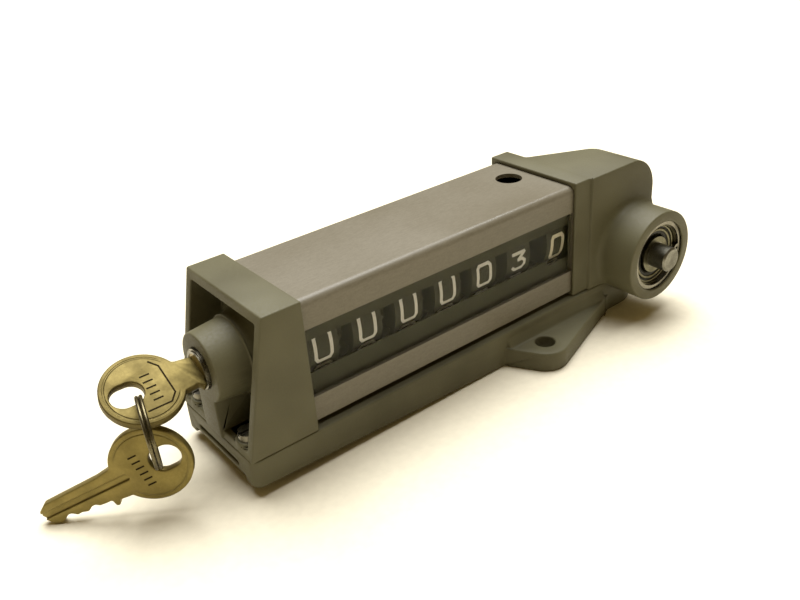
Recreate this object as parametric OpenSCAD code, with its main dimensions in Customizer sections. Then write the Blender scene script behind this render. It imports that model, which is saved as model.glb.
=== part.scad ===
// Key-reset totalizing counter with a right-angle ball-bearing shaft drive.
// X runs from the lock end to the drive end, the window faces -Y, Z is up.

/* [Castings] */
// Width of the hood and base across the window direction
body_width = 36.8; // [30:0.1:46]
// Height of the castings above the mounting face
body_height = 47.7; // [39:0.1:58]
// Height of the seam between the base and the parts standing on it
seam_height = 11; // [9.5:0.1:14]
// Depth of the hood along its top
hood_depth = 10.7; // [9:0.1:14]
// How far the foot of the hood reaches in front of its top edge
hood_rake = 8.6; // [5:0.1:12]
// Length of the cover between the hood and the drive flange
cover_length = 94.4; // [94:0.1:118]
// Wall thickness of the castings
wall = 2.6; // [2:0.1:3.5]

/* [Ears] */
// Distance of the ear holes from the hood edge
ear_position = 86; // [70:0.5:95]
// How far the ear hole stands out from the side of the base
ear_reach = 5.4; // [4.5:0.1:9]
// Radius of the rounded ear tip
ear_radius = 7; // [6:0.1:9]
// Radius of the ear hole
ear_hole_radius = 2.9; // [2:0.1:3.5]
// Thickness of the ears
ear_thickness = 6.1; // [4:0.1:8]

/* [Cover] */
// Step from the castings down to the cover
cover_inset = 2.05; // [1.5:0.05:3]
// Thickness of the folded cover sheet
sheet = 1.2; // [0.8:0.1:1.6]
// Lower edge of the window opening
window_bottom = 19.4; // [17:0.1:22]
// Upper edge of the window opening
window_top = 38.5; // [33:0.1:46]
// Radius of the service hole in the cover
service_hole_radius = 4; // [2:0.1:5]

/* [Counter] */
// Distance between neighbouring number wheels
wheel_pitch = 13.57; // [13:0.01:14.5]
// Width of the number band of a wheel
band_width = 9.2; // [8:0.1:9.6]
// Extra distance to the units wheel
units_offset = 2.7; // [2:0.1:3.5]
// Radius of the reset shaft
reset_radius = 2.5; // [2:0.1:3]

/* [Drive] */
// Radius of the drive shaft
shaft_radius = 4; // [3:0.1:5]
// Radius of the bearing boss
boss_radius = 14.2; // [12.5:0.1:17]
// Length of the bearing boss in front of the casting
boss_length = 12; // [11:0.1:16]
// Length of the shaft end in front of the boss
stub_length = 4; // [2:0.5:20]
// Distance of the drive shaft below the wheel axis
drive_drop = 9.7; // [9:0.1:10.2]

/* [Keys] */
// Radius of the key bow
bow_radius = 9.9; // [8.5:0.1:12]
// Thickness of the key blank
key_thickness = 2.2; // [1.6:0.1:2.6]
// Turn of the key in the lock from upright
key_turn = 65; // [0:1:90]
// Radius of the key ring at the middle of its wire
ring_radius = 8.4; // [8:0.1:9]

/* [Hidden] */
$fn = 64;
slack = 0.05;
step_gap = 0.3;
bite = 0.02;

// Main stations along X
cover_end = hood_depth + cover_length;
flange_depth = 7.1;
flange_back = cover_end + flange_depth;
housing_length = 28.1;
housing_back = flange_back + housing_length;
base_back = housing_back - 2.4;
base_front = -hood_rake;

// Counter layout
axis_y = body_width / 2;
head_room = 4;
pane_front = cover_inset + 0.4;
pane_back = cover_inset + sheet + 0.55;
mask_back = pane_back + 0.5;
band_gap = 0.4;
radius_by_width = axis_y - mask_back - band_gap;
radius_by_height = (body_height - 14.4) / 2.295;
wheel_radius = min(radius_by_width, radius_by_height);
axis_z = body_height - head_room - wheel_radius;
units_end = 3.28;
first_wheel = cover_end - units_end - 6 * wheel_pitch - units_offset;
end_plate_x = cover_end + 3.7;
end_plate_depth = 1.2;
bush_x = end_plate_x + end_plate_depth + 0.2;
wheel_count = 7;
plate_gap = (wheel_pitch - band_width) / 2;

// Carry gearing
ring_teeth = 20;
pinion_teeth = 8;
pinion_shaft_radius = 1;
carry_distance = wheel_radius + pinion_shaft_radius + 0.5;
carry_module = 2 * carry_distance / (ring_teeth + pinion_teeth);
carry_angle = 20;
pinion_y = axis_y + carry_distance * sin(carry_angle);
pinion_z = axis_z - carry_distance * cos(carry_angle);
pinion_tip = carry_module * (pinion_teeth / 2 + 0.75);
trough_floor = pinion_z - pinion_tip - 0.8;

// Drive layout
drive_x = flange_back + 17.5;
drive_z = axis_z - drive_drop;
lay_y = axis_y - 8;
lay_distance = norm([axis_y - lay_y, axis_z - drive_z]);
lay_teeth = 18;
lay_module = lay_distance / lay_teeth;
lay_angle = atan2(lay_y - axis_y, axis_z - drive_z);
bevel_teeth = 16;
bevel_radius = 6.4;
bevel_face = 2.4;
outer_bearing_radius = 11;
outer_bearing_width = 7;
clip_turn = -18;
outer_bearing_back = -boss_length + 1.8 + outer_bearing_width;
stub_radius = shaft_radius - 0.2;
inner_bearing_radius = 8;
inner_bearing_width = 4;
inner_bearing_back = outer_bearing_back + 1 + inner_bearing_width;
ball_count = 7;
inner_ball_count = 9;

// Lock and key layout
boss_front = -9;
lock_axis = [boss_front, axis_y, axis_z];
lock_boss_radius = 9.1;
barrel_radius = 5.3;
plug_radius = 4.1;
key_stop = boss_front - 1;
blade_half = 3.6;
bow_offset = 13.5;
bow_rise = 0.6;
key_hole_offset = 3.85;
key_hole_radius = 3.2;
key_hole_straight = 1.6;
wire_radius = 0.5;
ring_centre = [-26.52, axis_y - 6.33, axis_z - 6.29];
ring_turn = [71.83, 83.91, 56.19];
spare_centre = [-27.16, axis_y - 4.62, axis_z - 15.66];
spare_turn = [4.35, 22.74, 146.64];

// Paints and metals
enamel = [0.37, 0.35, 0.24];
lacquer = [0.62, 0.59, 0.52];
dark_paint = [0.18, 0.18, 0.12];
steel = [0.62, 0.62, 0.6];
nickel = [0.75, 0.74, 0.68];
brass_metal = [0.6, 0.52, 0.26];
wheel_black = [0.1, 0.1, 0.09];
clear_pane = [0.3, 0.3, 0.24, 0.5];

function wheel_x(n) = first_wheel + wheel_pitch * (n - 1) + (n == wheel_count ? units_offset : 0);
function polar(r, a) = [r * cos(a), r * sin(a)];
function involute(a) = tan(a) * 180 / PI - a;
function flank_half(rp, rb, r, half) = half + involute(acos(rb / rp)) - involute(acos(min(1, rb / r)));

// ---- Shared shapes ----

// Moves the build stations so the origin lies midway between the ear holes
module placed() {
    translate([-ear_position, -axis_y, 0])
        children();
}

// Cylinder along +X from a point
module rod_x(x, y, z, r, length) {
    translate([x, y, z])
        rotate([0, 90, 0])
            cylinder(h = length, r = r);
}

// Cylinder along +Y from a point
module rod_y(x, y, z, r, length) {
    translate([x, y, z])
        rotate([-90, 0, 0])
            cylinder(h = length, r = r);
}

// Outline in the XZ plane carried along +Y
module along_y(y, length) {
    translate([0, y + length, 0])
        rotate([90, 0, 0])
            linear_extrude(length)
                children();
}

// Outline in the YZ plane carried along +X
module along_x(x, length) {
    translate([x, 0, 0])
        rotate([90, 0, 90])
            linear_extrude(length)
                children();
}

// Rectangle with round corners
module round_plate(x, y, w, d, r) {
    translate([x + r, y])
        square([w - 2 * r, d]);
    translate([x, y + r])
        square([w, d - 2 * r]);
    for (cx = [x + r, x + w - r], cy = [y + r, y + d - r])
        translate([cx, cy])
            circle(r);
}

// Involute gear outline with a thinned tooth
module gear_outline(teeth, mod, pressure, thin) {
    rp = teeth * mod / 2;
    rb = rp * cos(pressure);
    rt = rp + 0.75 * mod;
    rr = rp - 1.05 * mod;
    low = max(rb, rr) + 0.01;
    half = 90 / teeth * thin;
    steps = 3;
    radii = [for (k = [0:steps]) low + (rt - low) * k / steps];
    polygon([for (i = [0:teeth - 1])
        let (a = 360 * i / teeth)
            each concat(
                [polar(rr, a - flank_half(rp, rb, low, half))],
                [for (r = radii) polar(r, a - flank_half(rp, rb, r, half))],
                [for (k = [steps:-1:0]) polar(radii[k], a + flank_half(rp, rb, radii[k], half))],
                [polar(rr, a + flank_half(rp, rb, low, half))])]);
}

// Spur gear on an axis along X with one tooth at a given angle
module gear_x(x, y, z, teeth, mod, width, angle, bore) {
    translate([x, y, z])
        rotate([0, 90, 0])
            difference() {
                rotate(angle)
                    linear_extrude(width)
                        gear_outline(teeth, mod, 25, 0.88);
                translate([0, 0, -1])
                    cylinder(h = width + 2, r = bore);
            }
}

// Mitre gear standing on its large end with a plain hub behind it
module mitre_gear(bore, hub_length, turn) {
    difference() {
        union() {
            rotate(turn)
                linear_extrude(height = bevel_face, scale = 1 - bevel_face / bevel_radius)
                    gear_outline(bevel_teeth, 2 * bevel_radius / bevel_teeth, 25, 0.72);
            translate([0, 0, -hub_length])
                cylinder(h = hub_length + bite, r = bevel_radius - 1.2);
        }
        translate([0, 0, -hub_length - 1])
            cylinder(h = hub_length + bevel_face + 2, r = bore);
    }
}

// Slotted cheese-head screw pointing down from the origin
module slotted_screw(head_r, head_h, shank_r, length) {
    difference() {
        cylinder(h = head_h, r = head_r);
        translate([-head_r - 1, -0.35, head_h - 0.7])
            cube([2 * head_r + 2, 0.7, 2]);
    }
    translate([0, 0, -length])
        cylinder(h = length + bite, r = shank_r);
}

// Ring of a ball bearing on an axis along Y
module bearing_part(y_back, r_in, r_out, width, ball_pitch, ball_r) {
    translate([drive_x, y_back, drive_z])
        rotate([90, 0, 0])
            rotate_extrude()
                difference() {
                    translate([r_in, 0])
                        square([r_out - r_in, width]);
                    translate([ball_pitch, width / 2])
                        circle(ball_r + 0.04);
                }
}

// Balls held in a thin cage on an axis along Y
module bearing_balls(y_mid, count, ball_pitch, ball_r) {
    translate([drive_x, y_mid, drive_z])
        rotate([90, 0, 0]) {
            for (i = [0:count - 1])
                rotate(360 * i / count)
                    translate([ball_pitch, 0, 0])
                        sphere(ball_r, $fn = 24);
            difference() {
                translate([0, 0, -0.3])
                    cylinder(h = 0.6, r = ball_pitch + 0.7);
                translate([0, 0, -1])
                    cylinder(h = 2, r = ball_pitch - 0.7);
            }
        }
}

// ---- Castings ----

// Plan outline of one ear: a rounded tip joined to the base side by two straight flanks
module ear_outline() {
    c = [ear_position, -ear_reach];
    left = [ear_position - 11.7, 1];
    right = [ear_position + 38, 1];
    d1 = norm(left - c);
    d2 = norm(right - c);
    a1 = atan2(left[1] - c[1], left[0] - c[0]) + acos(ear_radius / d1);
    a2 = atan2(right[1] - c[1], right[0] - c[0]) - acos(ear_radius / d2);
    translate(c)
        circle(ear_radius);
    polygon([left, c + polar(ear_radius, a1), c, c + polar(ear_radius, a2), right]);
}

// Both sides of the base carry the same ear
module both_sides() {
    children();
    translate([0, body_width, 0])
        mirror([0, 1, 0])
            children();
}

module base_casting() {
    trough_length = cover_end - hood_depth - 3;
    skirt_run = ear_position - 11 - base_front;
    foot_x = 2;
    foot_y = 8.5;
    color(enamel) placed() {
        difference() {
            union() {
                // Long bed with rounded upright corners
                linear_extrude(seam_height) {
                    round_plate(base_front, 0, 40, body_width, 2.5);
                    translate([base_front + 20, 0])
                        square([drive_x - base_front - 22, body_width]);
                    round_plate(base_back - 60, 0, 60, body_width, 10);
                }
                // Mounting ears with a sloping root
                both_sides() {
                    linear_extrude(ear_thickness)
                        ear_outline();
                    translate([ear_position - 10, 0, 0])
                        rotate([90, 0, 90])
                            linear_extrude(42)
                                polygon([[1, 0], [-1.6, 0], [-1.6, ear_thickness], [0, ear_thickness + 2.6],
                                    [1, ear_thickness + 2.6]]);
                }
            }
            // The skirt rises towards the lock end
            along_y(-1, body_width + 2)
                polygon([[base_front - 1, -1], [base_front + skirt_run, -1], [base_front + skirt_run, 0],
                    [base_front - 1, 3.05]]);
            // Arch between the front corners
            translate([base_front - 1, 5, -1])
                cube([16, body_width - 10, 5.6]);
            // Shadow groove under the sill
            translate([base_front - 1, 8, 6.1])
                cube([3, body_width - 16, 1.2]);
            // Trough for the carry pinions
            translate([hood_depth + 1.5, 6, trough_floor])
                cube([trough_length, body_width - 12, seam_height]);
            // Ear holes
            both_sides()
                translate([ear_position, -ear_reach, -1])
                    cylinder(h = ear_thickness + 2, r = ear_hole_radius);
            // Screw holes under the hood and the drive housing
            for (p = hood_screw_points())
                translate([p[0], p[1], 2])
                    cylinder(h = seam_height, r = 1.3);
            for (p = housing_screw_points())
                translate([p[0], p[1], -1])
                    cylinder(h = seam_height + 2, r = 1.6);
            for (p = housing_screw_points())
                translate([p[0], p[1], -1])
                    cylinder(h = 4, r = 3.1);
        }
        // Two hidden feet level the lock end
        for (y = [foot_y, body_width - foot_y])
            translate([foot_x, y, 0])
                cylinder(h = 5, r = 3.4);
    }
}

function hood_screw_points() = [[base_front + 3.4, 6.4], [base_front + 3.4, body_width - 6.4]];
function housing_screw_points() = [[flange_back + 3, 7], [cover_end + 3.6, body_width - 5.5],
    [housing_back - 5.8, 10]];

// Side outline of the hood
module hood_side(inset) {
    polygon([[base_front, seam_height], [0, body_height], [hood_depth, body_height],
        [hood_depth, seam_height]]);
}

module hood_casting() {
    back_face = 6.4;
    floor_top = seam_height + 2.2;
    rib_half = 4.2;
    slope = hood_rake / (body_height - seam_height);
    color(enamel) placed()
        difference() {
            union() {
                difference() {
                    along_y(0, body_width)
                        hood_side();
                    // Open recess around the lock
                    along_y(wall, body_width - 2 * wall)
                        polygon([[base_front - 3, floor_top], [back_face, floor_top],
                            [back_face, body_height - wall], [-3, body_height - wall]]);
                }
                // Tapered lock boss and its soft root
                translate([boss_front, axis_y, axis_z])
                    rotate([0, 90, 0])
                        cylinder(h = back_face - boss_front + 1, r1 = lock_boss_radius,
                            r2 = lock_boss_radius + 1.7);
                intersection() {
                    translate([0, axis_y, axis_z])
                        rotate([0, 90, 0])
                            rotate_extrude()
                                polygon([[0, 0], [10.2, 0], [10.7, 2.4], [11.8, 4.4], [13.4, 5.8],
                                    [16, back_face], [16, back_face + 1], [0, back_face + 1]]);
                    translate([-5, wall / 2, floor_top - 1])
                        cube([20, body_width - wall, body_height - floor_top - wall / 2]);
                }
                // Rib from the boss down to the sill
                translate([boss_front, axis_y - rib_half, seam_height])
                    cube([10, 2 * rib_half, axis_z - seam_height - 4]);
                // Screw pads
                for (p = hood_screw_points())
                    translate([p[0], p[1], seam_height])
                        cylinder(h = 3.2, r = 3.3);
            }
            // Lock barrel bore
            rod_x(boss_front - 1, axis_y, axis_z, barrel_radius, 30);
            for (p = hood_screw_points())
                translate([p[0], p[1], seam_height - 1])
                    cylinder(h = 8, r = 1.5);
            // Tapped holes for the end plate
            for (p = plate_screw_points())
                rod_x(hood_depth - 2.6, p[0], p[1], 1.1, 4);
            // Groove that hides the end of the cover
            cover_loop(hood_depth - 1.5, 2, 0.05);
        }
}

// Housing outline in the XZ plane: rounded where the top meets the back
module housing_side(inset) {
    r = 10.5 - inset;
    top = body_height - inset;
    back = housing_back - inset;
    low = seam_height + inset / 2;
    translate([back - r, top - r])
        circle(r);
    translate([flange_back - 1, low])
        square([back - r - flange_back + 1, top - low]);
    translate([back - r, low])
        square([r, top - r - low]);
}

// Housing plan outline: the far wall runs in towards the back
module housing_plan(inset) {
    far_front = body_width - 9.2;
    far_back = body_width - 24.2;
    polygon([[flange_back - 2, inset], [housing_back + 1, inset], [housing_back + 1, far_back - inset],
        [flange_back, far_front - inset], [flange_back - 2, far_front - inset]]);
}

module drive_housing() {
    seat = 0.9;
    inner = 3;
    root = 2.2;
    color(enamel) placed()
        difference() {
            union() {
                // Flange that closes the cover
                translate([cover_end, seat, seam_height])
                    cube([flange_depth, body_width - 2 * seat, body_height - seam_height]);
                // Gear case behind the flange
                intersection() {
                    along_y(0, body_width)
                        housing_side(0);
                    linear_extrude(body_height)
                        housing_plan(0);
                }
                // Bearing boss with a soft root
                rod_y(drive_x, -boss_length, drive_z, boss_radius, boss_length);
                intersection() {
                    rod_y(drive_x, -1, drive_z, boss_radius, 5);
                    translate([flange_back, -2, seam_height])
                        cube([housing_length, 8, body_height - seam_height]);
                }
                intersection() {
                    translate([drive_x, 0, drive_z])
                        rotate([90, 0, 0])
                            rotate_extrude()
                                polygon([[0, -2], [boss_radius + root, -2], [boss_radius + root, 0],
                                    [boss_radius + 0.45 * root, 0.2 * root],
                                    [boss_radius + 0.2 * root, 0.45 * root],
                                    [boss_radius, root], [0, root]]);
                    translate([flange_back, -boss_length, seam_height])
                        cube([housing_length, boss_length + 4, body_height - seam_height]);
                }
            }
            // Chamber in the flange, open towards the counter
            translate([cover_end - 1, 4, seam_height + 2])
                cube([end_plate_x + end_plate_depth - cover_end + 1, body_width - 8,
                    body_height - seam_height - 5.3]);
            // Relief for the layshaft gear
            rod_x(end_plate_x - 2.5, lay_y, drive_z, 7.25, 2.5);
            for (p = drive_plate_screw_points())
                rod_x(end_plate_x, p[0], p[1], 1.1, end_plate_depth + 2);
            translate([cover_end + 3, 6, seam_height + 2])
                cube([6, 18, body_height - seam_height - 8]);
            // Gear chamber
            intersection() {
                along_y(-1, body_width)
                    housing_side(inner);
                translate([0, 0, seam_height])
                    linear_extrude(body_height)
                        housing_plan(inner);
            }
            // Service window in the far wall, closed by the side cover
            side_frame()
                translate([-8, -9, -6])
                    cube([16, 18, 12]);
            side_frame()
                for (p = side_screw_points())
                    translate([p[0], p[1], -4])
                        cylinder(h = 6, r = 0.9);
            // Bearing seats
            rod_y(drive_x, -boss_length - 1, drive_z, outer_bearing_radius,
                outer_bearing_back + boss_length + 1);
            rod_y(drive_x, -boss_length + 0.7, drive_z, outer_bearing_radius + 0.7, 1.1);
            rod_y(drive_x, -boss_length, drive_z, inner_bearing_radius, boss_length + inner_bearing_back);
            rod_y(drive_x, 0, drive_z, inner_bearing_radius - 1, 5);
            cover_loop(cover_end - 0.5, 2, 0.05);
            for (p = housing_screw_points())
                translate([p[0], p[1], seam_height - 1])
                    cylinder(h = 7, r = 1.3);
        }
    // Bearer for the layshaft bush and posts for the bed screws
    color(enamel) placed()
        difference() {
            union() {
                rod_x(bush_x, lay_y, drive_z, 4.6, 2.6);
                translate([bush_x, 2, drive_z - 2])
                    cube([2.6, lay_y - 4, 4]);
                for (p = housing_screw_points())
                    translate([p[0], p[1], seam_height])
                        cylinder(h = 4.8, r = 2.5);
            }
            rod_x(flange_back - 4, lay_y, drive_z, 3, 6);
            for (p = housing_screw_points())
                translate([p[0], p[1], seam_height - 1])
                    cylinder(h = 7, r = 1.3);
        }
}

// Local frame on the sloping far wall of the gear case, Z outwards
module side_frame() {
    run = housing_back + 1 - flange_back;
    lean = atan2(15, run);
    translate([flange_back + run / 2, 27.6 - 7.5, drive_z + 8])
        rotate([0, 0, -lean])
            rotate([-90, 0, 0])
                children();
}

function side_screw_points() = [[-9.4, -10.4], [9.4, -10.4], [-9.4, 10.4], [9.4, 10.4]];

module housing_cover() {
    color(enamel) placed()
        side_frame()
            difference() {
                linear_extrude(1.6)
                    round_plate(-11.6, -12.6, 23.2, 25.2, 2.4);
                for (p = side_screw_points())
                    translate([p[0], p[1], -1])
                        cylinder(h = 4, r = 1.2);
            }
}

module side_cover_screws() {
    color(steel) placed()
        side_frame()
            for (p = side_screw_points())
                translate([p[0], p[1], 1.6])
                    slotted_screw(2, 1.1, 0.9, 4.2);
}

module hood_screws() {
    color(nickel) placed()
        for (p = hood_screw_points())
            translate([p[0], p[1], seam_height + 3.2])
                slotted_screw(2.6, 1.9, 1.3, 9);
}

module housing_screws() {
    color(steel) placed()
        for (p = housing_screw_points())
            translate([p[0], p[1], 3])
                rotate([180, 0, 0])
                    slotted_screw(2.8, 2, 1.3, 12);
}

// ---- Cover and window ----

// Cross-section of the folded cover, open at the bottom
module cover_section(grow) {
    low = seam_height + 1.45;
    high = body_height - 1.4;
    bend = 2;
    difference() {
        translate([cover_inset - grow, low - grow])
            square([body_width - 2 * cover_inset + 2 * grow, high - low - bend + grow]);
        translate([cover_inset + sheet + grow, low - 1])
            square([body_width - 2 * cover_inset - 2 * sheet - 2 * grow, high - low]);
    }
    difference() {
        union() {
            translate([cover_inset + bend, high - bend - 1])
                square([body_width - 2 * cover_inset - 2 * bend, bend + 1 + grow]);
            for (y = [cover_inset + bend, body_width - cover_inset - bend])
                translate([y, high - bend])
                    circle(bend + grow);
        }
        translate([cover_inset + sheet + grow, low])
            square([body_width - 2 * cover_inset - 2 * sheet - 2 * grow, high - low - sheet - grow]);
    }
}

module cover_loop(x, length, grow) {
    along_x(x, length)
        cover_section(grow);
}

module cover_sheet() {
    color(lacquer) placed()
        difference() {
            cover_loop(hood_depth - 1.4, cover_length + 2.8, 0);
            // Window opening along the near side
            translate([hood_depth - 0.6, 0, window_bottom])
                cube([cover_length + 1.2, 6, window_top - window_bottom]);
            // Service hole in the top
            translate([cover_end - 6.9, axis_y + 2.8, body_height - 5])
                cylinder(h = 8, r = service_hole_radius);
        }
}

module window_pane() {
    seat = 0.1;
    lip = 1.8;
    color(clear_pane) placed() {
        translate([hood_depth + 0.05, pane_front, window_bottom + seat])
            cube([cover_length - 0.1, pane_back - pane_front, window_top - window_bottom - 2 * seat]);
        translate([hood_depth + 0.05, cover_inset + sheet, window_bottom - lip])
            cube([cover_length - 0.1, pane_back - cover_inset - sheet,
                window_top - window_bottom + 2 * lip]);
    }
}

module mask_plate() {
    slot_low = axis_z - 4.8;
    slot_high = axis_z + 4.3;
    units_low = axis_z - 6.4;
    left = wheel_x(1) - band_width / 2 - 0.6;
    right = wheel_x(wheel_count) + band_width / 2 - 0.2;
    color(dark_paint) placed()
        difference() {
            translate([hood_depth + 0.05, pane_back, window_bottom - 1.8])
                cube([cover_length - 0.1, mask_back - pane_back, window_top - window_bottom + 3.6]);
            translate([left, pane_back - 1, slot_low])
                cube([right - left, 3, slot_high - slot_low]);
            translate([right - band_width - 0.4, pane_back - 1, units_low])
                cube([band_width + 0.4, 3, slot_high - units_low]);
        }
}

// ---- Frame plates inside ----

module lock_end_plate() {
    thickness = 1.5;
    color(steel) placed()
        difference() {
            union() {
                translate([hood_depth, 6.4, seam_height])
                    cube([thickness, body_width - 12.8, axis_z + 8 - seam_height]);
                rod_x(hood_depth, axis_y, axis_z, 7, thickness);
            }
            rod_x(hood_depth - 1, axis_y, axis_z, reset_radius + slack, 4);
            rod_x(hood_depth - 1, pinion_y, pinion_z, pinion_shaft_radius, 4);
            for (p = plate_screw_points())
                rod_x(hood_depth - 1, p[0], p[1], 1.1, 4);
        }
}

function plate_screw_points() = [[axis_y - 8.5, axis_z - 12], [axis_y + 11, axis_z - 6]];

module drive_end_plate() {
    x = end_plate_x;
    color(steel) placed()
        difference() {
            translate([x, 4.2, seam_height + 2])
                cube([end_plate_depth, body_width - 13, axis_z + 6 - seam_height]);
            rod_x(x - 1, axis_y, axis_z, reset_radius + slack, 4);
            rod_x(x - 1, pinion_y, pinion_z, pinion_shaft_radius, 4);
            rod_x(x - 1, lay_y, drive_z, 2.4, 4);
            for (p = drive_plate_screw_points())
                rod_x(x - 1, p[0], p[1], 1.1, 4);
        }
}

function drive_plate_screw_points() = [[axis_y + 7.6, seam_height + 9], [axis_y + 7.6, axis_z + 6]];

module plate_screws() {
    color(steel) placed() {
        for (p = plate_screw_points())
            translate([hood_depth + 1.5, p[0], p[1]])
                rotate([0, 90, 0])
                    slotted_screw(2, 0.7, 1.1, 4);
        for (p = drive_plate_screw_points())
            translate([end_plate_x, p[0], p[1]])
                rotate([0, -90, 0])
                    slotted_screw(2, 0.7, 1.1, end_plate_depth + 1.8);
    }
}

module pinion_shaft() {
    color(steel) placed()
        rod_x(hood_depth, pinion_y, pinion_z, pinion_shaft_radius,
            end_plate_x + end_plate_depth - hood_depth);
}

// ---- Lock ----

module lock_barrel() {
    color(nickel) placed()
        difference() {
            union() {
                rod_x(boss_front - 0.6, axis_y, axis_z, barrel_radius, 18.4);
                rod_x(boss_front - 0.9, axis_y, axis_z, barrel_radius - 0.5, 1);
            }
            rod_x(boss_front - 2, axis_y, axis_z, plug_radius + slack, 30);
        }
}

module lock_plug() {
    color(brass_metal) placed()
        difference() {
            rod_x(boss_front - 0.8, axis_y, axis_z, plug_radius, 18.8);
            translate(lock_axis)
                rotate([-key_turn, 0, 0])
                    translate([-2, -key_thickness / 2 - 0.05, -blade_half - 0.15])
                        cube([18.55, key_thickness + 0.1, 2 * blade_half + 0.3]);
            rod_x(boss_front + 16.6, axis_y, axis_z, reset_radius, 3);
        }
}

module reset_shaft() {
    x = boss_front + 16.6;
    color(steel) placed()
        difference() {
            rod_x(x, axis_y, axis_z, reset_radius, end_plate_x + end_plate_depth - x);
            // Driving groove for the reset pawls
            translate([hood_depth + 2, axis_y - 0.6, axis_z + reset_radius - 0.8])
                cube([cover_length, 1.2, 2]);
        }
}

// Key blank lying in the XZ plane, shoulder at the origin and blade along +X
module key_blank() {
    tip = 17.4;
    difference() {
        along_y(-key_thickness / 2, key_thickness)
            difference() {
                union() {
                    translate([-bow_offset, bow_rise])
                        circle(bow_radius, $fn = 96);
                    polygon([[-bow_offset, -4.4], [-4.2, -4.6], [-1.6, -4.3], [-0.9, -5.6], [0, -5.3],
                        [0.1, -3.6], [1.6, -blade_half], [3.4, -3.4], [4.2, -2.7], [5.2, -2.7], [6.6, -3.5],
                        [8.2, -3], [9.4, -3.1], [10.6, -2], [11.6, -2], [12.8, -2.8], [14, -3.2],
                        [15.6, -2.6], [tip, 0.4], [tip - 0.6, 1.9], [tip - 2.6, 3.2],
                        [4, blade_half - 0.1], [0, blade_half],
                        [-3.6, 4.1], [-6.4, 5.2], [-bow_offset, 5.6]]);
                }
                // Ring hole
                translate([-bow_offset - key_hole_offset - key_hole_straight / 2, bow_rise]) {
                    circle(key_hole_radius);
                    translate([key_hole_straight, 0])
                        circle(key_hole_radius);
                    translate([0, -key_hole_radius])
                        square([key_hole_straight, 2 * key_hole_radius]);
                }
            }
        // Warding groove on one side
        translate([-7, key_thickness / 2 - 0.7, -0.5])
            cube([tip + 9, 2, 1.7]);
    }
}

module key_in_lock() {
    color(brass_metal) placed()
        translate([key_stop, axis_y, axis_z])
            rotate([-key_turn, 0, 0])
                key_blank();
}

module spare_key() {
    color(brass_metal) placed()
        translate(spare_centre)
            rotate(spare_turn)
                translate([bow_offset, 0, -bow_rise])
                    key_blank();
}

module key_ring() {
    color(steel) placed()
        translate(ring_centre)
            rotate(ring_turn)
                rotate_extrude($fn = 96) {
                    for (z = [-wire_radius + bite, wire_radius - bite])
                        translate([ring_radius, z])
                            circle(wire_radius, $fn = 16);
                }
}

// ---- Number wheels ----

// Wheel with its number band, web, hub and gear ring
module wheel_body(n, x) {
    left = x - band_width / 2;
    hub = 4.4;
    drum = wheel_radius - 1.6;
    web = 2.6;
    units = n == wheel_count;
    lead = n == 1 ? 0 : units ? 2 + units_offset : 2;
    translate([0, axis_y, axis_z])
        difference() {
            union() {
                rod_x(left, 0, 0, wheel_radius, band_width);
                rod_x(left - lead, 0, 0, hub, band_width + lead);
                if (n > 1)
                    carry_disc(left - lead);
                if (units)
                    gear_x(left + band_width - bite, 0, 0, lay_teeth, lay_module, 2.1, lay_angle,
                        reset_radius);
                if (!units)
                    gear_x(left + band_width - bite, 0, 0, ring_teeth, carry_module, 2, carry_angle,
                        reset_radius);
            }
            // Hollow drum open on the lower-order side of the band
            translate([left - bite, 0, 0])
                rotate([0, 90, 0])
                    difference() {
                        cylinder(h = band_width - web, r = drum);
                        translate([0, 0, -1])
                            cylinder(h = band_width + 2, r = hub);
                    }
            rod_x(left - 8, 0, 0, reset_radius + slack, band_width + 14);
            // Slot that lets the pawl reach the shaft
            translate([left + 1.8, -1.3, 0])
                cube([2.4, 2.6, hub + 1]);
        }
    // Pawl post
    translate([0, axis_y, axis_z])
        rod_x(left + 1.8, 4.4, 7, 0.9, band_width - web - 1.7);
}

// Locking disc with the two carry teeth
module carry_disc(x) {
    rod_x(x, 0, 0, carry_distance - pinion_tip - 1.6, 2);
    for (a = [10, 28])
        rotate([a, 0, 0])
            translate([x, -0.8, 0])
                cube([2, 1.6, carry_distance - pinion_tip - 0.45]);
}

module wheel(n) {
    color(wheel_black) placed()
        wheel_body(n, wheel_x(n));
}

// Reset pawl hooked over its post, nose towards the shaft
module pawl(n) {
    x = wheel_x(n) - band_width / 2 + 1.9;
    color(brass_metal) placed()
        translate([0, axis_y, axis_z])
            along_x(x, 2.2)
                difference() {
                    union() {
                        translate([4.4, 7])
                            circle(1.8);
                        polygon([[4.2, 8.7], [-0.6, 8.2], [-1, 6.8], [-0.6, reset_radius + 0.1],
                            [0.7, reset_radius + 0.1], [1, 5.6], [4.2, 5.4]]);
                    }
                    translate([4.4, 7])
                        circle(0.9);
                }
}

// Carry pinion between two wheels
module pinion(n) {
    x = wheel_x(n) + band_width / 2 + 0.15;
    reach = wheel_x(n + 1) - band_width / 2 - 0.2 - (n == wheel_count - 1 ? units_offset : 0) - x;
    color(nickel) placed()
        gear_x(x, pinion_y, pinion_z, pinion_teeth, carry_module, reach,
            carry_angle + 180 + 180 / pinion_teeth, pinion_shaft_radius + slack);
}

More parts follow.
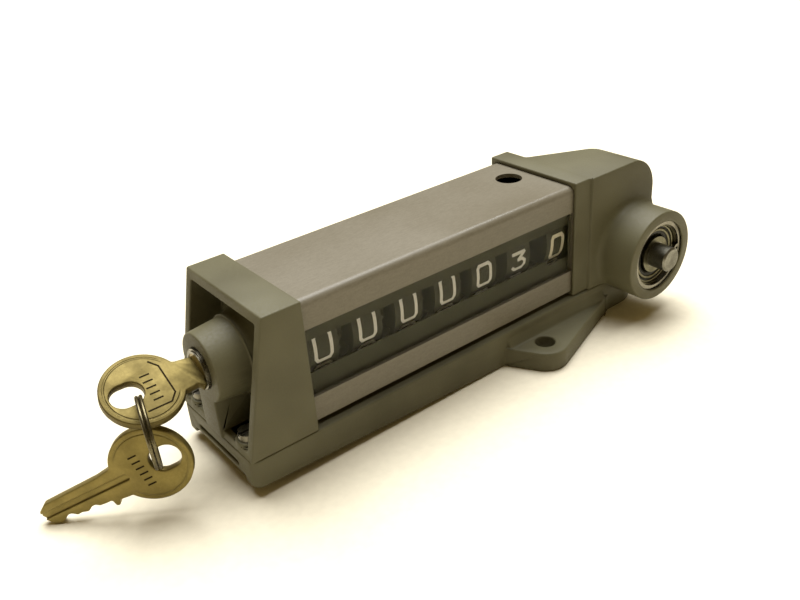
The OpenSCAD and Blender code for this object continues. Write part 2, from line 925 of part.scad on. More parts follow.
module number_wheel_1() wheel(1);
module number_wheel_2() wheel(2);
module number_wheel_3() wheel(3);
module number_wheel_4() wheel(4);
module number_wheel_5() wheel(5);
module number_wheel_6() wheel(6);
module units_wheel() wheel(7);
module reset_pawl_1() pawl(1);
module reset_pawl_2() pawl(2);
module reset_pawl_3() pawl(3);
module reset_pawl_4() pawl(4);
module reset_pawl_5() pawl(5);
module reset_pawl_6() pawl(6);
module reset_pawl_7() pawl(7);
module carry_pinion_1() pinion(1);
module carry_pinion_2() pinion(2);
module carry_pinion_3() pinion(3);
module carry_pinion_4() pinion(4);
module carry_pinion_5() pinion(5);
module carry_pinion_6() pinion(6);

// ---- Right-angle drive ----

module drive_shaft() {
    end = lay_y - bevel_radius + 1.6;
    seat = stub_length + 1.8;
    chamfer = 0.5;
    color(steel) placed() {
        translate([drive_x, -boss_length - stub_length, drive_z])
            rotate([-90, 0, 0]) {
                cylinder(h = chamfer, r1 = stub_radius - chamfer, r2 = stub_radius);
                translate([0, 0, chamfer])
                    cylinder(h = seat - chamfer, r = stub_radius);
                translate([0, 0, seat])
                    cylinder(h = end + boss_length + stub_length - seat, r = shaft_radius);
            }
        // Shoulder between the bearings
        rod_y(drive_x, outer_bearing_back, drive_z, shaft_radius + 1,
            inner_bearing_back - inner_bearing_width - outer_bearing_back);
    }
}

module drive_bevel() {
    hub = lay_y - bevel_radius - inner_bearing_back - 0.6;
    color(steel) placed()
        translate([drive_x, lay_y - bevel_radius, drive_z])
            rotate([-90, 0, 0])
                mitre_gear(shaft_radius, hub, 180 / bevel_teeth);
}

module outer_bearing_ring() {
    color(steel) placed()
        bearing_part(outer_bearing_back, 9.3, outer_bearing_radius, outer_bearing_width, 7.5, 1.98);
}

module outer_bearing_race() {
    color(steel) placed()
        bearing_part(outer_bearing_back, shaft_radius, 5.7, outer_bearing_width, 7.5, 1.98);
}

module outer_bearing_shield() {
    y = outer_bearing_back - outer_bearing_width + 0.9;
    color(dark_paint) placed()
        difference() {
            rod_y(drive_x, y - 0.5, drive_z, 9.3, 0.5);
            rod_y(drive_x, y - 2, drive_z, 6.1, 4);
        }
}

module bearing_clip() {
    color(nickel) placed()
        difference() {
            union() {
                difference() {
                    rod_y(drive_x, -boss_length + 0.7, drive_z, outer_bearing_radius + 0.7, 1.1);
                    rod_y(drive_x, -boss_length, drive_z, outer_bearing_radius - 1.2, 3);
                }
                for (a = [clip_turn - 13, clip_turn + 13])
                    translate([drive_x + 9.4 * cos(a), -boss_length + 0.7, drive_z + 9.4 * sin(a)])
                        rotate([-90, 0, 0])
                            cylinder(h = 1.1, r = 1.5, $fn = 24);
            }
            // Gap between the eyes
            translate([drive_x, -boss_length - 1, drive_z])
                rotate([0, -clip_turn, 0])
                    translate([7, 0, -1.3])
                        cube([6, 4, 2.6]);
            for (a = [clip_turn - 13, clip_turn + 13])
                translate([drive_x + 9.2 * cos(a), -boss_length - 1, drive_z + 9.2 * sin(a)])
                    rotate([-90, 0, 0])
                        cylinder(h = 4, r = 0.6, $fn = 24);
        }
}

module inner_bearing_ring() {
    color(steel) placed()
        bearing_part(inner_bearing_back, 6.9, inner_bearing_radius, inner_bearing_width, 6, 1.2);
}

module inner_bearing_race() {
    color(steel) placed()
        bearing_part(inner_bearing_back, shaft_radius, 5.1, inner_bearing_width, 6, 1.2);
}

module outer_bearing_balls() {
    color(nickel) placed()
        bearing_balls(outer_bearing_back - outer_bearing_width / 2, ball_count, 7.5, 1.98);
}

module inner_bearing_balls() {
    color(nickel) placed()
        bearing_balls(inner_bearing_back - inner_bearing_width / 2, inner_ball_count, 6, 1.2);
}

module layshaft() {
    start = wheel_x(wheel_count) + band_width / 2 + 0.3;
    end = drive_x - bevel_radius + 1.2;
    color(steel) placed()
        rod_x(start, lay_y, drive_z, 2, end - start);
}

module layshaft_bush() {
    color(brass_metal) placed()
        difference() {
            rod_x(bush_x, lay_y, drive_z, 3, 3.2);
            rod_x(bush_x - 1, lay_y, drive_z, 2 + slack, 6);
        }
}

module layshaft_bevel() {
    color(steel) placed()
        translate([drive_x - bevel_radius, lay_y, drive_z])
            rotate([0, 90, 0])
                mitre_gear(2, 4, 0);
}

module layshaft_gear() {
    x = wheel_x(wheel_count) + band_width / 2 + 0.3;
    color(brass_metal) placed()
        gear_x(x, lay_y, drive_z, lay_teeth, lay_module, 1.8, lay_angle + 180 + 180 / lay_teeth, 2);
}

base_casting();
hood_casting();
drive_housing();
housing_cover();
cover_sheet();
window_pane();
mask_plate();
lock_barrel();
hood_screws();
housing_screws();
side_cover_screws();
lock_end_plate();
drive_end_plate();
plate_screws();
pinion_shaft();
outer_bearing_ring();
outer_bearing_shield();
bearing_clip();
inner_bearing_ring();
layshaft_bush();
drive_shaft();
outer_bearing_race();
inner_bearing_race();
drive_bevel();
outer_bearing_balls();
inner_bearing_balls();
layshaft();
layshaft_bevel();
layshaft_gear();
number_wheel_1();
number_wheel_2();
number_wheel_3();
number_wheel_4();
number_wheel_5();
number_wheel_6();
units_wheel();
reset_pawl_1();
reset_pawl_2();
reset_pawl_3();
reset_pawl_4();
reset_pawl_5();
reset_pawl_6();
reset_pawl_7();
carry_pinion_1();
carry_pinion_2();
carry_pinion_3();
carry_pinion_4();
carry_pinion_5();
carry_pinion_6();
lock_plug();
reset_shaft();
key_in_lock();
key_ring();
spare_key();
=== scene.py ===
import math
import bmesh
import bpy
from mathutils import Matrix, Vector


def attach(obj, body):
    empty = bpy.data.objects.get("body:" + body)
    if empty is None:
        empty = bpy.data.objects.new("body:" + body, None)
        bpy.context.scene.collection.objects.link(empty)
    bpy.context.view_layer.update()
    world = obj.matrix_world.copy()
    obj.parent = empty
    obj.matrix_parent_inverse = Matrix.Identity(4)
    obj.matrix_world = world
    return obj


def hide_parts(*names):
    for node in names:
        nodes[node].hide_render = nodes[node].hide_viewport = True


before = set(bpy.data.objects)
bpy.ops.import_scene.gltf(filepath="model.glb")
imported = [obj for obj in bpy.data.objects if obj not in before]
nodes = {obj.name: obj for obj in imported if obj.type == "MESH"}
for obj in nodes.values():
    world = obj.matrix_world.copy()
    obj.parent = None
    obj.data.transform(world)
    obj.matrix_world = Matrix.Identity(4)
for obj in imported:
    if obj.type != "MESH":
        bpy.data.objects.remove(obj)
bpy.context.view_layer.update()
mm = 0.001


def linear(hexColour):
    # sRGB hex to the linear values that Blender wants
    parts = [int(hexColour[i:i + 2], 16) / 255 for i in (1, 3, 5)]
    return tuple(p / 12.92 if p <= 0.04045 else ((p + 0.055) / 1.055) ** 2.4 for p in parts) + (1.0,)


def addNode(tree, kind, inputs=None, **settings):
    made = tree.nodes.new(kind)
    for name, value in settings.items():
        setattr(made, name, value)
    for key, value in (inputs or {}).items():
        if isinstance(value, bpy.types.NodeSocket):
            tree.links.new(value, made.inputs[key])
        else:
            made.inputs[key].default_value = value
    return made


def newMaterial(name, **shaderValues):
    material = bpy.data.materials.new(name)
    material.use_nodes = True
    tree = material.node_tree
    tree.nodes.clear()
    shader = addNode(tree, "ShaderNodeBsdfPrincipled", shaderValues)
    addNode(tree, "ShaderNodeOutputMaterial", {"Surface": shader.outputs[0]})
    place = addNode(tree, "ShaderNodeTexCoord").outputs["Object"]
    return material, tree, shader, place


def fadeColours(tree, factor, stops):
    # colour ramp with one hex colour at each place
    ramp = addNode(tree, "ShaderNodeValToRGB", {"Fac": factor})
    band = ramp.color_ramp.elements
    while len(band) < len(stops):
        band.new(0.5)
    for slot, (where, colour) in zip(band, stops):
        slot.position = where
        slot.color = linear(colour)
    return ramp.outputs["Color"]


def fadeValues(tree, factor, low, high, start=0.0, end=1.0):
    return addNode(tree, "ShaderNodeMapRange", {"Value": factor, "From Min": start, "From Max": end,
                                                "To Min": low, "To Max": high}).outputs["Result"]


def mixColours(tree, factor, first, second):
    return addNode(tree, "ShaderNodeMix", {0: factor, 6: first, 7: second},
                   data_type="RGBA").outputs[2]


# Stove enamel on a zinc die casting: a dull olive grey skin with the fine grain of the sprayed coat
castingPaint = {"low": "#464229", "mid": "#4c4831", "high": "#534f37", "edge": "#6d6a50",
                "grainMm": 0.55, "cloudMm": 40.0, "bumpMm": 0.05, "roughLow": 0.5, "roughHigh": 0.68}


def stoveEnamel(name, values):
    material, tree, shader, place = newMaterial(name, IOR=1.5, **{"Specular IOR Level": 0.35})
    cloud = addNode(tree, "ShaderNodeTexNoise", {"Vector": place, "Scale": 1000 / values["cloudMm"],
                                                 "Detail": 3.0, "Roughness": 0.6}).outputs[0]
    grain = addNode(tree, "ShaderNodeTexNoise", {"Vector": place, "Scale": 1000 / values["grainMm"],
                                                 "Detail": 2.0, "Roughness": 0.55}).outputs[0]
    mixed = addNode(tree, "ShaderNodeMath", {0: cloud, 1: grain}, operation="ADD").outputs[0]
    paint = fadeColours(tree, fadeValues(tree, mixed, 0.0, 1.0, 0.72, 1.28),
                        [(0.0, values["low"]), (0.5, values["mid"]), (1.0, values["high"])])
    # paint thins over the edges and lets the pale primer through in places; the same pale rims are also a painted
    # highlight along the rounded edges
    edgeWearAndHighlight = addNode(tree, "ShaderNodeAttribute", attribute_name="edgeWearAndHighlight").outputs["Fac"]
    patchy = fadeValues(tree, cloud, 0.1, 0.6, 0.35, 0.7)
    wornAndHighlit = addNode(tree, "ShaderNodeMath", {0: edgeWearAndHighlight, 1: patchy}, operation="MULTIPLY").outputs[0]
    colour = mixColours(tree, wornAndHighlit, paint, linear(values["edge"]))
    tree.links.new(colour, shader.inputs["Base Color"])
    rough = fadeValues(tree, grain, values["roughLow"], values["roughHigh"], 0.3, 0.7)
    tree.links.new(rough, shader.inputs["Roughness"])
    bump = addNode(tree, "ShaderNodeBump", {"Height": grain, "Strength": 0.5,
                                            "Distance": values["bumpMm"] * mm})
    tree.links.new(bump.outputs[0], shader.inputs["Normal"])
    return material


# Smooth satin enamel on folded sheet: paler and warmer, with the faint grain of the sheet along the body
sheetPaint = {"low": "#696353", "mid": "#6f6959", "high": "#756f5f", "grainMm": 0.5, "lineMm": 0.6,
              "bumpMm": 0.004, "roughLow": 0.34, "roughHigh": 0.46}


def sheetEnamel(name, values):
    material, tree, shader, place = newMaterial(name, IOR=1.5, **{"Specular IOR Level": 0.4})
    stretched = addNode(tree, "ShaderNodeMapping", {"Vector": place, "Scale": (0.25, 1.0, 1.0)}).outputs[0]
    lines = addNode(tree, "ShaderNodeTexNoise", {"Vector": stretched, "Scale": 1000 / values["lineMm"],
                                                 "Detail": 2.0, "Roughness": 0.5}).outputs[0]
    grain = addNode(tree, "ShaderNodeTexNoise", {"Vector": place, "Scale": 1000 / values["grainMm"],
                                                 "Detail": 2.0, "Roughness": 0.6}).outputs[0]
    cloud = addNode(tree, "ShaderNodeTexNoise", {"Vector": place, "Scale": 25.0, "Detail": 2.0}).outputs[0]
    mixed = addNode(tree, "ShaderNodeMath", {0: lines, 1: grain}, operation="ADD").outputs[0]
    both = addNode(tree, "ShaderNodeMath", {0: mixed, 1: cloud}, operation="ADD").outputs[0]
    paint = fadeColours(tree, fadeValues(tree, both, 0.0, 1.0, 1.15, 1.85),
                        [(0.0, values["low"]), (0.5, values["mid"]), (1.0, values["high"])])
    tree.links.new(paint, shader.inputs["Base Color"])
    tree.links.new(fadeValues(tree, cloud, values["roughLow"], values["roughHigh"], 0.35, 0.65),
                   shader.inputs["Roughness"])
    bump = addNode(tree, "ShaderNodeBump", {"Height": mixed, "Strength": 0.4,
                                            "Distance": values["bumpMm"] * mm})
    tree.links.new(bump.outputs[0], shader.inputs["Normal"])
    return material


# A metal with turning marks or cast grain, dulled by tarnish in clouds about 4.5 mm across
def workedMetal(name, values):
    material, tree, shader, place = newMaterial(name, Metallic=1.0)
    cloud = addNode(tree, "ShaderNodeTexNoise", {"Vector": place, "Scale": 220.0, "Detail": 4.0,
                                                 "Roughness": 0.65}).outputs[0]
    grain = addNode(tree, "ShaderNodeTexNoise", {"Vector": place, "Scale": 1000 / values["grainMm"],
                                                 "Detail": 3.0, "Roughness": 0.6}).outputs[0]
    clean = fadeColours(tree, fadeValues(tree, grain, 0.0, 1.0, 0.3, 0.7),
                        [(0.0, values["low"]), (0.5, values["mid"]), (1.0, values["high"])])
    dull = fadeValues(tree, cloud, 0.0, values["tarnishShare"], 0.42, 0.66)
    tree.links.new(mixColours(tree, dull, clean, linear(values["tarnish"])), shader.inputs["Base Color"])
    tree.links.new(fadeValues(tree, cloud, *values["rough"], 0.35, 0.65), shader.inputs["Roughness"])
    bump = addNode(tree, "ShaderNodeBump", {"Height": grain, "Strength": 0.5,
                                            "Distance": values["bumpMm"] * mm})
    tree.links.new(bump.outputs[0], shader.inputs["Normal"])
    return material


# Moulded or sprayed matte black with dust in the grain: no gloss, and paler on the high spots
def matteBlack(name, values):
    material, tree, shader, place = newMaterial(name, IOR=1.5, **{"Specular IOR Level": values["specular"]})
    grain = addNode(tree, "ShaderNodeTexNoise", {"Vector": place, "Scale": 1000 / values["grainMm"],
                                                 "Detail": 3.0, "Roughness": 0.6}).outputs[0]
    tree.links.new(fadeColours(tree, fadeValues(tree, grain, 0.0, 1.0, 0.3, 0.7),
                               [(0.0, values["low"]), (1.0, values["high"])]), shader.inputs["Base Color"])
    tree.links.new(fadeValues(tree, grain, *values["rough"], 0.3, 0.7), shader.inputs["Roughness"])
    bump = addNode(tree, "ShaderNodeBump", {"Height": grain, "Strength": 0.4,
                                            "Distance": values["bumpMm"] * mm})
    tree.links.new(bump.outputs[0], shader.inputs["Normal"])
    return material


# Clear acrylic strip gone olive and hazy with age: gloss on top, the wheels seen straight through
agedPane = {"low": "#34331b", "high": "#3d3c23", "alpha": 0.13, "rough": (0.14, 0.22)}


def hazyAcrylic(name, values):
    material, tree, shader, place = newMaterial(name, IOR=1.49, Alpha=values["alpha"])
    # clouds about 8 mm across
    haze = addNode(tree, "ShaderNodeTexNoise", {"Vector": place, "Scale": 120.0, "Detail": 3.0}).outputs[0]
    tree.links.new(fadeColours(tree, haze, [(0.3, values["low"]), (0.7, values["high"])]),
                   shader.inputs["Base Color"])
    tree.links.new(fadeValues(tree, haze, *values["rough"], 0.3, 0.7), shader.inputs["Roughness"])
    return material


# Printed figures: cream paint on the band, a little uneven in tone
def figurePaint(name, low, high):
    material, tree, shader, place = newMaterial(name, IOR=1.5, Roughness=0.5)
    # specks about 0.4 mm across
    speck = addNode(tree, "ShaderNodeTexNoise", {"Vector": place, "Scale": 2600.0, "Detail": 3.0}).outputs[0]
    tree.links.new(fadeColours(tree, speck, [(0.34, low), (0.55, high)]), shader.inputs["Base Color"])
    return material


paintCasting = stoveEnamel("stoveEnamelOlive", castingPaint)
paintSheet = sheetEnamel("sheetEnamelBeige", sheetPaint)
metals = {
    # nickel plate on steel: bright with soft yellowed patches
    "nickelPlate": {"low": "#716d60", "mid": "#7f7b6e", "high": "#908c7f", "tarnish": "#585342",
                    "tarnishShare": 0.5, "rough": (0.22, 0.4), "grainMm": 0.3, "bumpMm": 0.004},
    # ground bearing steel, lightly oiled: darker, with a soft shine
    "bearingSteel": {"low": "#56523f", "mid": "#64604c", "high": "#757159", "tarnish": "#403c29",
                     "tarnishShare": 0.6, "rough": (0.3, 0.5), "grainMm": 0.25, "bumpMm": 0.004},
    # turned mild steel: pale, with fine tool marks that blur what it reflects
    "turnedSteel": {"low": "#6c6a5f", "mid": "#7b796e", "high": "#8c897d", "tarnish": "#4c493c",
                    "tarnishShare": 0.45, "rough": (0.3, 0.5), "grainMm": 0.35, "bumpMm": 0.006},
    # spring wire, dark with handling, and shinier in patches
    "springSteel": {"low": "#544e3a", "mid": "#676049", "high": "#807860", "tarnish": "#383019",
                    "tarnishShare": 0.6, "rough": (0.25, 0.45), "grainMm": 0.3, "bumpMm": 0.005},
    # turned brass bar: yellow, browned in patches
    "turnedBrass": {"low": "#6f5f2c", "mid": "#7f6d36", "high": "#917e45", "tarnish": "#54461f",
                    "tarnishShare": 0.4, "rough": (0.25, 0.4), "grainMm": 0.3, "bumpMm": 0.006},
}
nickelPlate, bearingSteel, turnedSteel, springSteel, turnedBrass = [
    workedMetal(name, values) for name, values in metals.items()]
mouldedWheel = {"low": "#302f18", "high": "#39381f", "grainMm": 0.5, "rough": (0.6, 0.75), "bumpMm": 0.002,
                "specular": 0.5}
sprayedMask = {"low": "#35341a", "high": "#3e3d21", "grainMm": 0.5, "rough": (0.6, 0.75), "bumpMm": 0.002,
               "specular": 0.5}
blackMoulding = matteBlack("blackWheelMoulding", mouldedWheel)
maskPaint = matteBlack("maskPaint", sprayedMask)
windowAcrylic = hazyAcrylic("hazyAcrylic", agedPane)
creamFigures = figurePaint("figurePaintWhite", "#e6e3d6", "#f6f4ea")
unitsFigures = figurePaint("figurePaintCream", "#e9dfbf", "#f7efd2")
print("materials made")


def dress(material, *names):
    for name in names:
        nodes[name].data.materials.clear()
        nodes[name].data.materials.append(material)


dress(paintSheet, "cover_sheet")
dress(windowAcrylic, "window_pane")
dress(maskPaint, "mask_plate")
dress(nickelPlate, "lock_barrel", "hood_screws", "side_cover_screws", "housing_screws", "plate_screws",
      "bearing_clip")
dress(bearingSteel, "outer_bearing_ring", "inner_bearing_ring", "outer_bearing_race", "inner_bearing_race",
      "outer_bearing_balls", "inner_bearing_balls")
dress(turnedSteel, "lock_end_plate", "drive_end_plate", "pinion_shaft", "drive_shaft", "drive_bevel",
      "layshaft", "layshaft_bevel", "reset_shaft", *[f"carry_pinion_{n}" for n in range(1, 7)])
dress(turnedBrass, "lock_plug", "layshaft_bush", "layshaft_gear", *[f"reset_pawl_{n}" for n in range(1, 8)])
dress(blackMoulding, "units_wheel", *[f"number_wheel_{n}" for n in range(1, 7)])
dress(paintCasting, "base_casting", "hood_casting", "drive_housing", "housing_cover")


smoothAngle = 35  # degrees, above which an edge stays crisp


def finishMesh(shape, name, material, body):
    mesh = bpy.data.meshes.new(name)
    shape.to_mesh(mesh)
    shape.free()
    mesh.materials.append(material)
    piece = bpy.data.objects.new(name, mesh)
    bpy.context.scene.collection.objects.link(piece)
    mesh.polygons.foreach_set("use_smooth", [True] * len(mesh.polygons))
    mesh.set_sharp_from_angle(angle=math.radians(smoothAngle))
    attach(piece, body)
    return piece


# angles in degrees: edges sharper than the first are rounded, faces flatter than the second are joined
rounding = {"sharpestLeft": 28, "flatWithin": 0.5, "mergeMm": 0.002}


def roundedCopy(nodeName, pieceName, material, body, radiusMm, segments=3):
    # a merged copy of the CAD solid with every sharp edge rounded over
    shape = bmesh.new()
    shape.from_mesh(nodes[nodeName].data)
    bmesh.ops.remove_doubles(shape, verts=shape.verts, dist=rounding["mergeMm"] * mm)
    bmesh.ops.dissolve_limit(shape, angle_limit=math.radians(rounding["flatWithin"]), verts=shape.verts,
                             edges=shape.edges)
    sharp = [e for e in shape.edges if len(e.link_faces) == 2
             and e.calc_face_angle() > math.radians(rounding["sharpestLeft"])]
    rounded = bmesh.ops.bevel(shape, geom=sharp, offset=radiusMm * mm, offset_type="OFFSET",
                              segments=segments, profile=0.5, affect="EDGES", clamp_overlap=False,
                              material=-1, miter_outer="ARC")
    # the rounded faces are marked for edge wear and for a painted edge highlight
    edgeWearAndHighlight = shape.loops.layers.float_color.new("edgeWearAndHighlight")
    for face in rounded["faces"]:
        for loop in face.loops:
            loop[edgeWearAndHighlight] = (1.0, 1.0, 1.0, 1.0)
    piece = finishMesh(shape, pieceName, material, body)
    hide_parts(nodeName)
    return piece


roundings = {"base_casting": 0.5, "hood_casting": 0.45, "drive_housing": 0.5, "housing_cover": 0.35}
for nodeName, radius in roundings.items():
    roundedCopy(nodeName, nodeName.replace("_", "") + "Painted", paintCasting, "counter_frame", radius)
print("castings rounded")


wheelBand = {"radius": 13.7, "pitch": 13.57, "first": -68.3, "unitsStep": 2.7, "axisY": 0.0, "axisZ": 30.0,
             "figureWidth": 5.7, "plainHeight": 6.5, "stroke": 0.95, "unitsStroke": 1.15, "proud": 0.06,
             "bends": 8}
# strokes of each figure, in widths across and heights up, with round or cut corners
cut = 0.13
figureStrokes = {
    0: [[(cut, 0), (1 - cut, 0), (1, cut), (1, 1 - cut), (1 - cut, 1), (cut, 1), (0, 1 - cut), (0, cut),
         (cut, 0)]],
    1: [[(0.2, 0.78), (0.55, 1), (0.55, 0)]],
    2: [[(0, 0.8), (cut, 1), (1 - cut, 1), (1, 0.8), (1, 0.62), (0, 0), (1, 0)]],
    3: [[(0, 0.86), (1, 0.86), (0.45, 0.5), (0.8, 0.5), (1, 0.36), (1, 0.15), (0.78, 0), (0.2, 0), (0, 0.15)]],
    4: [[(0.75, 0), (0.75, 1), (0, 0.3), (1, 0.3)]],
    5: [[(1, 1), (0.08, 1), (0, 0.55), (0.75, 0.6), (1, 0.42), (1, 0.18), (0.78, 0), (0, 0)]],
    6: [[(0.85, 1), (0.3, 1), (0, 0.65), (0, cut), (cut, 0), (1 - cut, 0), (1, cut), (1, 0.4),
         (1 - cut, 0.56), (0, 0.5)]],
    7: [[(0, 1), (1, 1), (0.35, 0)]],
    8: [[(0.2, 0), (0.8, 0), (1, 0.2), (1, 0.38), (0.8, 0.54), (0.2, 0.54), (0, 0.38), (0, 0.2), (0.2, 0)],
        [(0.2, 0.54), (0.1, 0.66), (0.1, 0.84), (0.28, 1), (0.72, 1), (0.9, 0.84), (0.9, 0.66), (0.8, 0.54)]],
    9: [[(0.15, 0), (0.7, 0), (1, 0.35), (1, 1 - cut), (1 - cut, 1), (cut, 1), (0, 1 - cut), (0, 0.6),
         (cut, 0.44), (1, 0.5)]],
}
# for each wheel: the figure that shows, how far it has crept in degrees, and its height
shownFigures = [(0, -1.6, 8.7), (0, -1.6, 8.7), (0, -1.5, 8.7), (0, -1.2, 8.5), (0, 1.5, 7.2), (3, 2.5, 6.8),
                (0, 9.0, 8.5)]


def addBar(shape, start, end, overlap, thick, stroke):
    # a flat bar from one point to the next, a little longer so that corners close
    along = end - start
    made = bmesh.ops.create_cube(shape, size=1.0)["verts"]
    bmesh.ops.scale(shape, vec=(along.length + overlap, thick, stroke), verts=made)
    bmesh.ops.rotate(shape, matrix=Matrix.Rotation(-math.atan2(along.z, along.x), 4, "Y"), verts=made)
    bmesh.ops.translate(shape, vec=(start + end) / 2, verts=made)


def addStrokes(shape, strokes, width, height, stroke, thick):
    # the bars lie flat here and are bent round the band later
    for line in strokes:
        points = [Vector(((x - 0.5) * (width - stroke), 0, (z - 0.5) * (height - stroke))) for x, z in line]
        for start, end in zip(points, points[1:]):
            addBar(shape, start, end, 0.45 * stroke, thick, stroke)


def figureBand(wheel):
    units = wheel == 7
    centre = wheelBand["first"] + wheelBand["pitch"] * (wheel - 1) + (wheelBand["unitsStep"] if units else 0)
    stroke = wheelBand["unitsStroke"] if units else wheelBand["stroke"]
    figure, creep, shownHeight = shownFigures[wheel - 1]
    whole = bmesh.new()
    for digit in range(10):
        one = bmesh.new()
        height = shownHeight if digit == figure else wheelBand["plainHeight"]
        addStrokes(one, figureStrokes[digit], wheelBand["figureWidth"], height, stroke, 2 * wheelBand["proud"])
        for level in range(1, wheelBand["bends"]):
            # cuts across the figure let it follow the curve of the band
            bmesh.ops.bisect_plane(one, geom=one.verts[:] + one.edges[:] + one.faces[:], dist=1e-6,
                                   plane_co=(0, 0, height * (level / wheelBand["bends"] - 0.5)),
                                   plane_no=(0, 0, 1))
        tilt = math.radians(36 * (figure - digit) + creep)
        for vert in one.verts:
            angle = vert.co.z / wheelBand["radius"] - tilt
            reach = wheelBand["radius"] - vert.co.y
            vert.co = Vector(((centre + vert.co.x) * mm,
                              (wheelBand["axisY"] - reach * math.cos(angle)) * mm,
                              (wheelBand["axisZ"] + reach * math.sin(angle)) * mm))
        copy = bpy.data.meshes.new("figure")
        one.to_mesh(copy)
        one.free()
        whole.from_mesh(copy)
        bpy.data.meshes.remove(copy)
    return finishMesh(whole, f"figuresWheel{wheel}", unitsFigures if units else creamFigures,
                      "wheel_units" if units else f"wheel_{wheel}")


for wheel in range(1, 8):
    figureBand(wheel)
print("figures wrapped on the wheels")


keyShape = {"edge": 0.3, "bowOffset": 13.5, "bowRise": 0.6, "rimRadius": 8.7, "rimWidth": 0.35, "thickness": 2.2,
            "shoulder": (-96.0, 0.0, 30.0), "turn": (-65.0, 0.0, 0.0),
            "spareCentre": (-113.16, -4.62, 14.34), "spareTurn": (4.35, 22.74, 146.64)}


# Blanked yellow brass dulled by hands, with the coined line that runs inside the edge of the bow, cut as a bump
# and darkened as painted shade. The stains are about 6 mm across and the grain 0.7 mm, coarser than real so
# that it shows
def coinedBrass(name, centre, turn, tones):
    material, tree, shader, place = newMaterial(name, Metallic=0.8)
    cloud = addNode(tree, "ShaderNodeTexNoise", {"Vector": place, "Scale": 160.0, "Detail": 4.0,
                                                 "Roughness": 0.6}).outputs[0]
    grain = addNode(tree, "ShaderNodeTexNoise", {"Vector": place, "Scale": 1400.0, "Detail": 3.0,
                                                 "Roughness": 0.6}).outputs[0]
    clean = fadeColours(tree, fadeValues(tree, grain, 0.0, 1.0, 0.3, 0.7),
                        [(0.0, tones["low"]), (0.5, tones["mid"]), (1.0, tones["high"])])
    tarnished = mixColours(tree, fadeValues(tree, cloud, 0.0, 0.5, 0.45, 0.68), clean, linear(tones["tarnish"]))
    # the key's own frame: millimetres from the middle of its bow, Y through its thickness
    flat = addNode(tree, "ShaderNodeMapping", {"Vector": place, "Location": [c * mm for c in centre],
                                               "Rotation": [math.radians(t) for t in turn],
                                               "Scale": (mm, mm, mm)}, vector_type="TEXTURE").outputs[0]
    parts = addNode(tree, "ShaderNodeSeparateXYZ", {0: flat}).outputs
    squares = [addNode(tree, "ShaderNodeMath", {0: parts[i], 1: 2.0}, operation="POWER").outputs[0] for i in (0, 2)]
    reach = addNode(tree, "ShaderNodeMath", {0: addNode(tree, "ShaderNodeMath", {0: squares[0], 1: squares[1]},
                                                        operation="ADD").outputs[0], 1: 0.5},
                    operation="POWER").outputs[0]
    off = addNode(tree, "ShaderNodeMath", {0: reach, 1: keyShape["rimRadius"]}, operation="SUBTRACT").outputs[0]
    away = addNode(tree, "ShaderNodeMath", {0: off}, operation="ABSOLUTE").outputs[0]
    groove = fadeValues(tree, away, 1.0, 0.0, keyShape["rimWidth"] * 0.3, keyShape["rimWidth"])
    onBow = fadeValues(tree, parts[0], 1.0, 0.0, 6.2, 7.4)
    line = addNode(tree, "ShaderNodeMath", {0: groove, 1: onBow}, operation="MULTIPLY").outputs[0]
    # painted shade darkens the coined line
    dark = addNode(tree, "ShaderNodeMath", {0: line, 1: 0.55}, operation="MULTIPLY").outputs[0]
    coloured = mixColours(tree, dark, tarnished, linear("#30280d"))
    # rubbed brass on the rounded edges, lighter also as a painted edge highlight
    edgeWearAndHighlight = addNode(tree, "ShaderNodeAttribute", attribute_name="edgeWearAndHighlight").outputs["Fac"]
    rubbedAndHighlit = addNode(tree, "ShaderNodeMath", {0: edgeWearAndHighlight, 1: 0.6}, operation="MULTIPLY").outputs[0]
    tree.links.new(mixColours(tree, rubbedAndHighlit, coloured, linear(tones["edge"])), shader.inputs["Base Color"])
    tree.links.new(fadeValues(tree, cloud, 0.42, 0.6, 0.35, 0.65), shader.inputs["Roughness"])
    depth = addNode(tree, "ShaderNodeMath", {0: fadeValues(tree, grain, 0.0, 0.12, 0.2, 0.8), 1: line},
                    operation="SUBTRACT").outputs[0]
    bump = addNode(tree, "ShaderNodeBump", {"Height": depth, "Strength": 0.9, "Distance": 0.15 * mm})
    tree.links.new(bump.outputs[0], shader.inputs["Normal"])
    return material


def keyFrame(centre, turn):
    turns = [Matrix.Rotation(math.radians(angle), 4, axis) for angle, axis in zip(turn, "XYZ")]
    return Matrix.Translation(Vector(centre) * mm) @ turns[2] @ turns[1] @ turns[0]


lockKeyFrame = keyFrame(keyShape["shoulder"], keyShape["turn"])
lockBow = lockKeyFrame @ (Vector((-keyShape["bowOffset"], 0, keyShape["bowRise"])) * mm)
spareFrame = keyFrame(keyShape["spareCentre"], keyShape["spareTurn"])
# the same brass in two tones: the key in the lock painted darker as shade, the spare painted lighter as light
lockKeyShadedTones = {"low": "#463b17", "mid": "#50441e", "high": "#5b4f27", "tarnish": "#372d10", "edge": "#6f6338"}
spareKeyLitTones = {"low": "#645623", "mid": "#72622c", "high": "#80703a", "tarnish": "#4c401a", "edge": "#94864f"}
lockKeyBrass = coinedBrass("coinedBrassLockKeyShaded", lockBow / mm, keyShape["turn"], lockKeyShadedTones)
spareKeyBrass = coinedBrass("coinedBrassSpareKeyLit", keyShape["spareCentre"], keyShape["spareTurn"],
                            spareKeyLitTones)
roundedCopy("key_in_lock", "keyInLock", lockKeyBrass, "key", keyShape["edge"], segments=2)
roundedCopy("spare_key", "spareKey", spareKeyBrass, "spare", keyShape["edge"], segments=2)
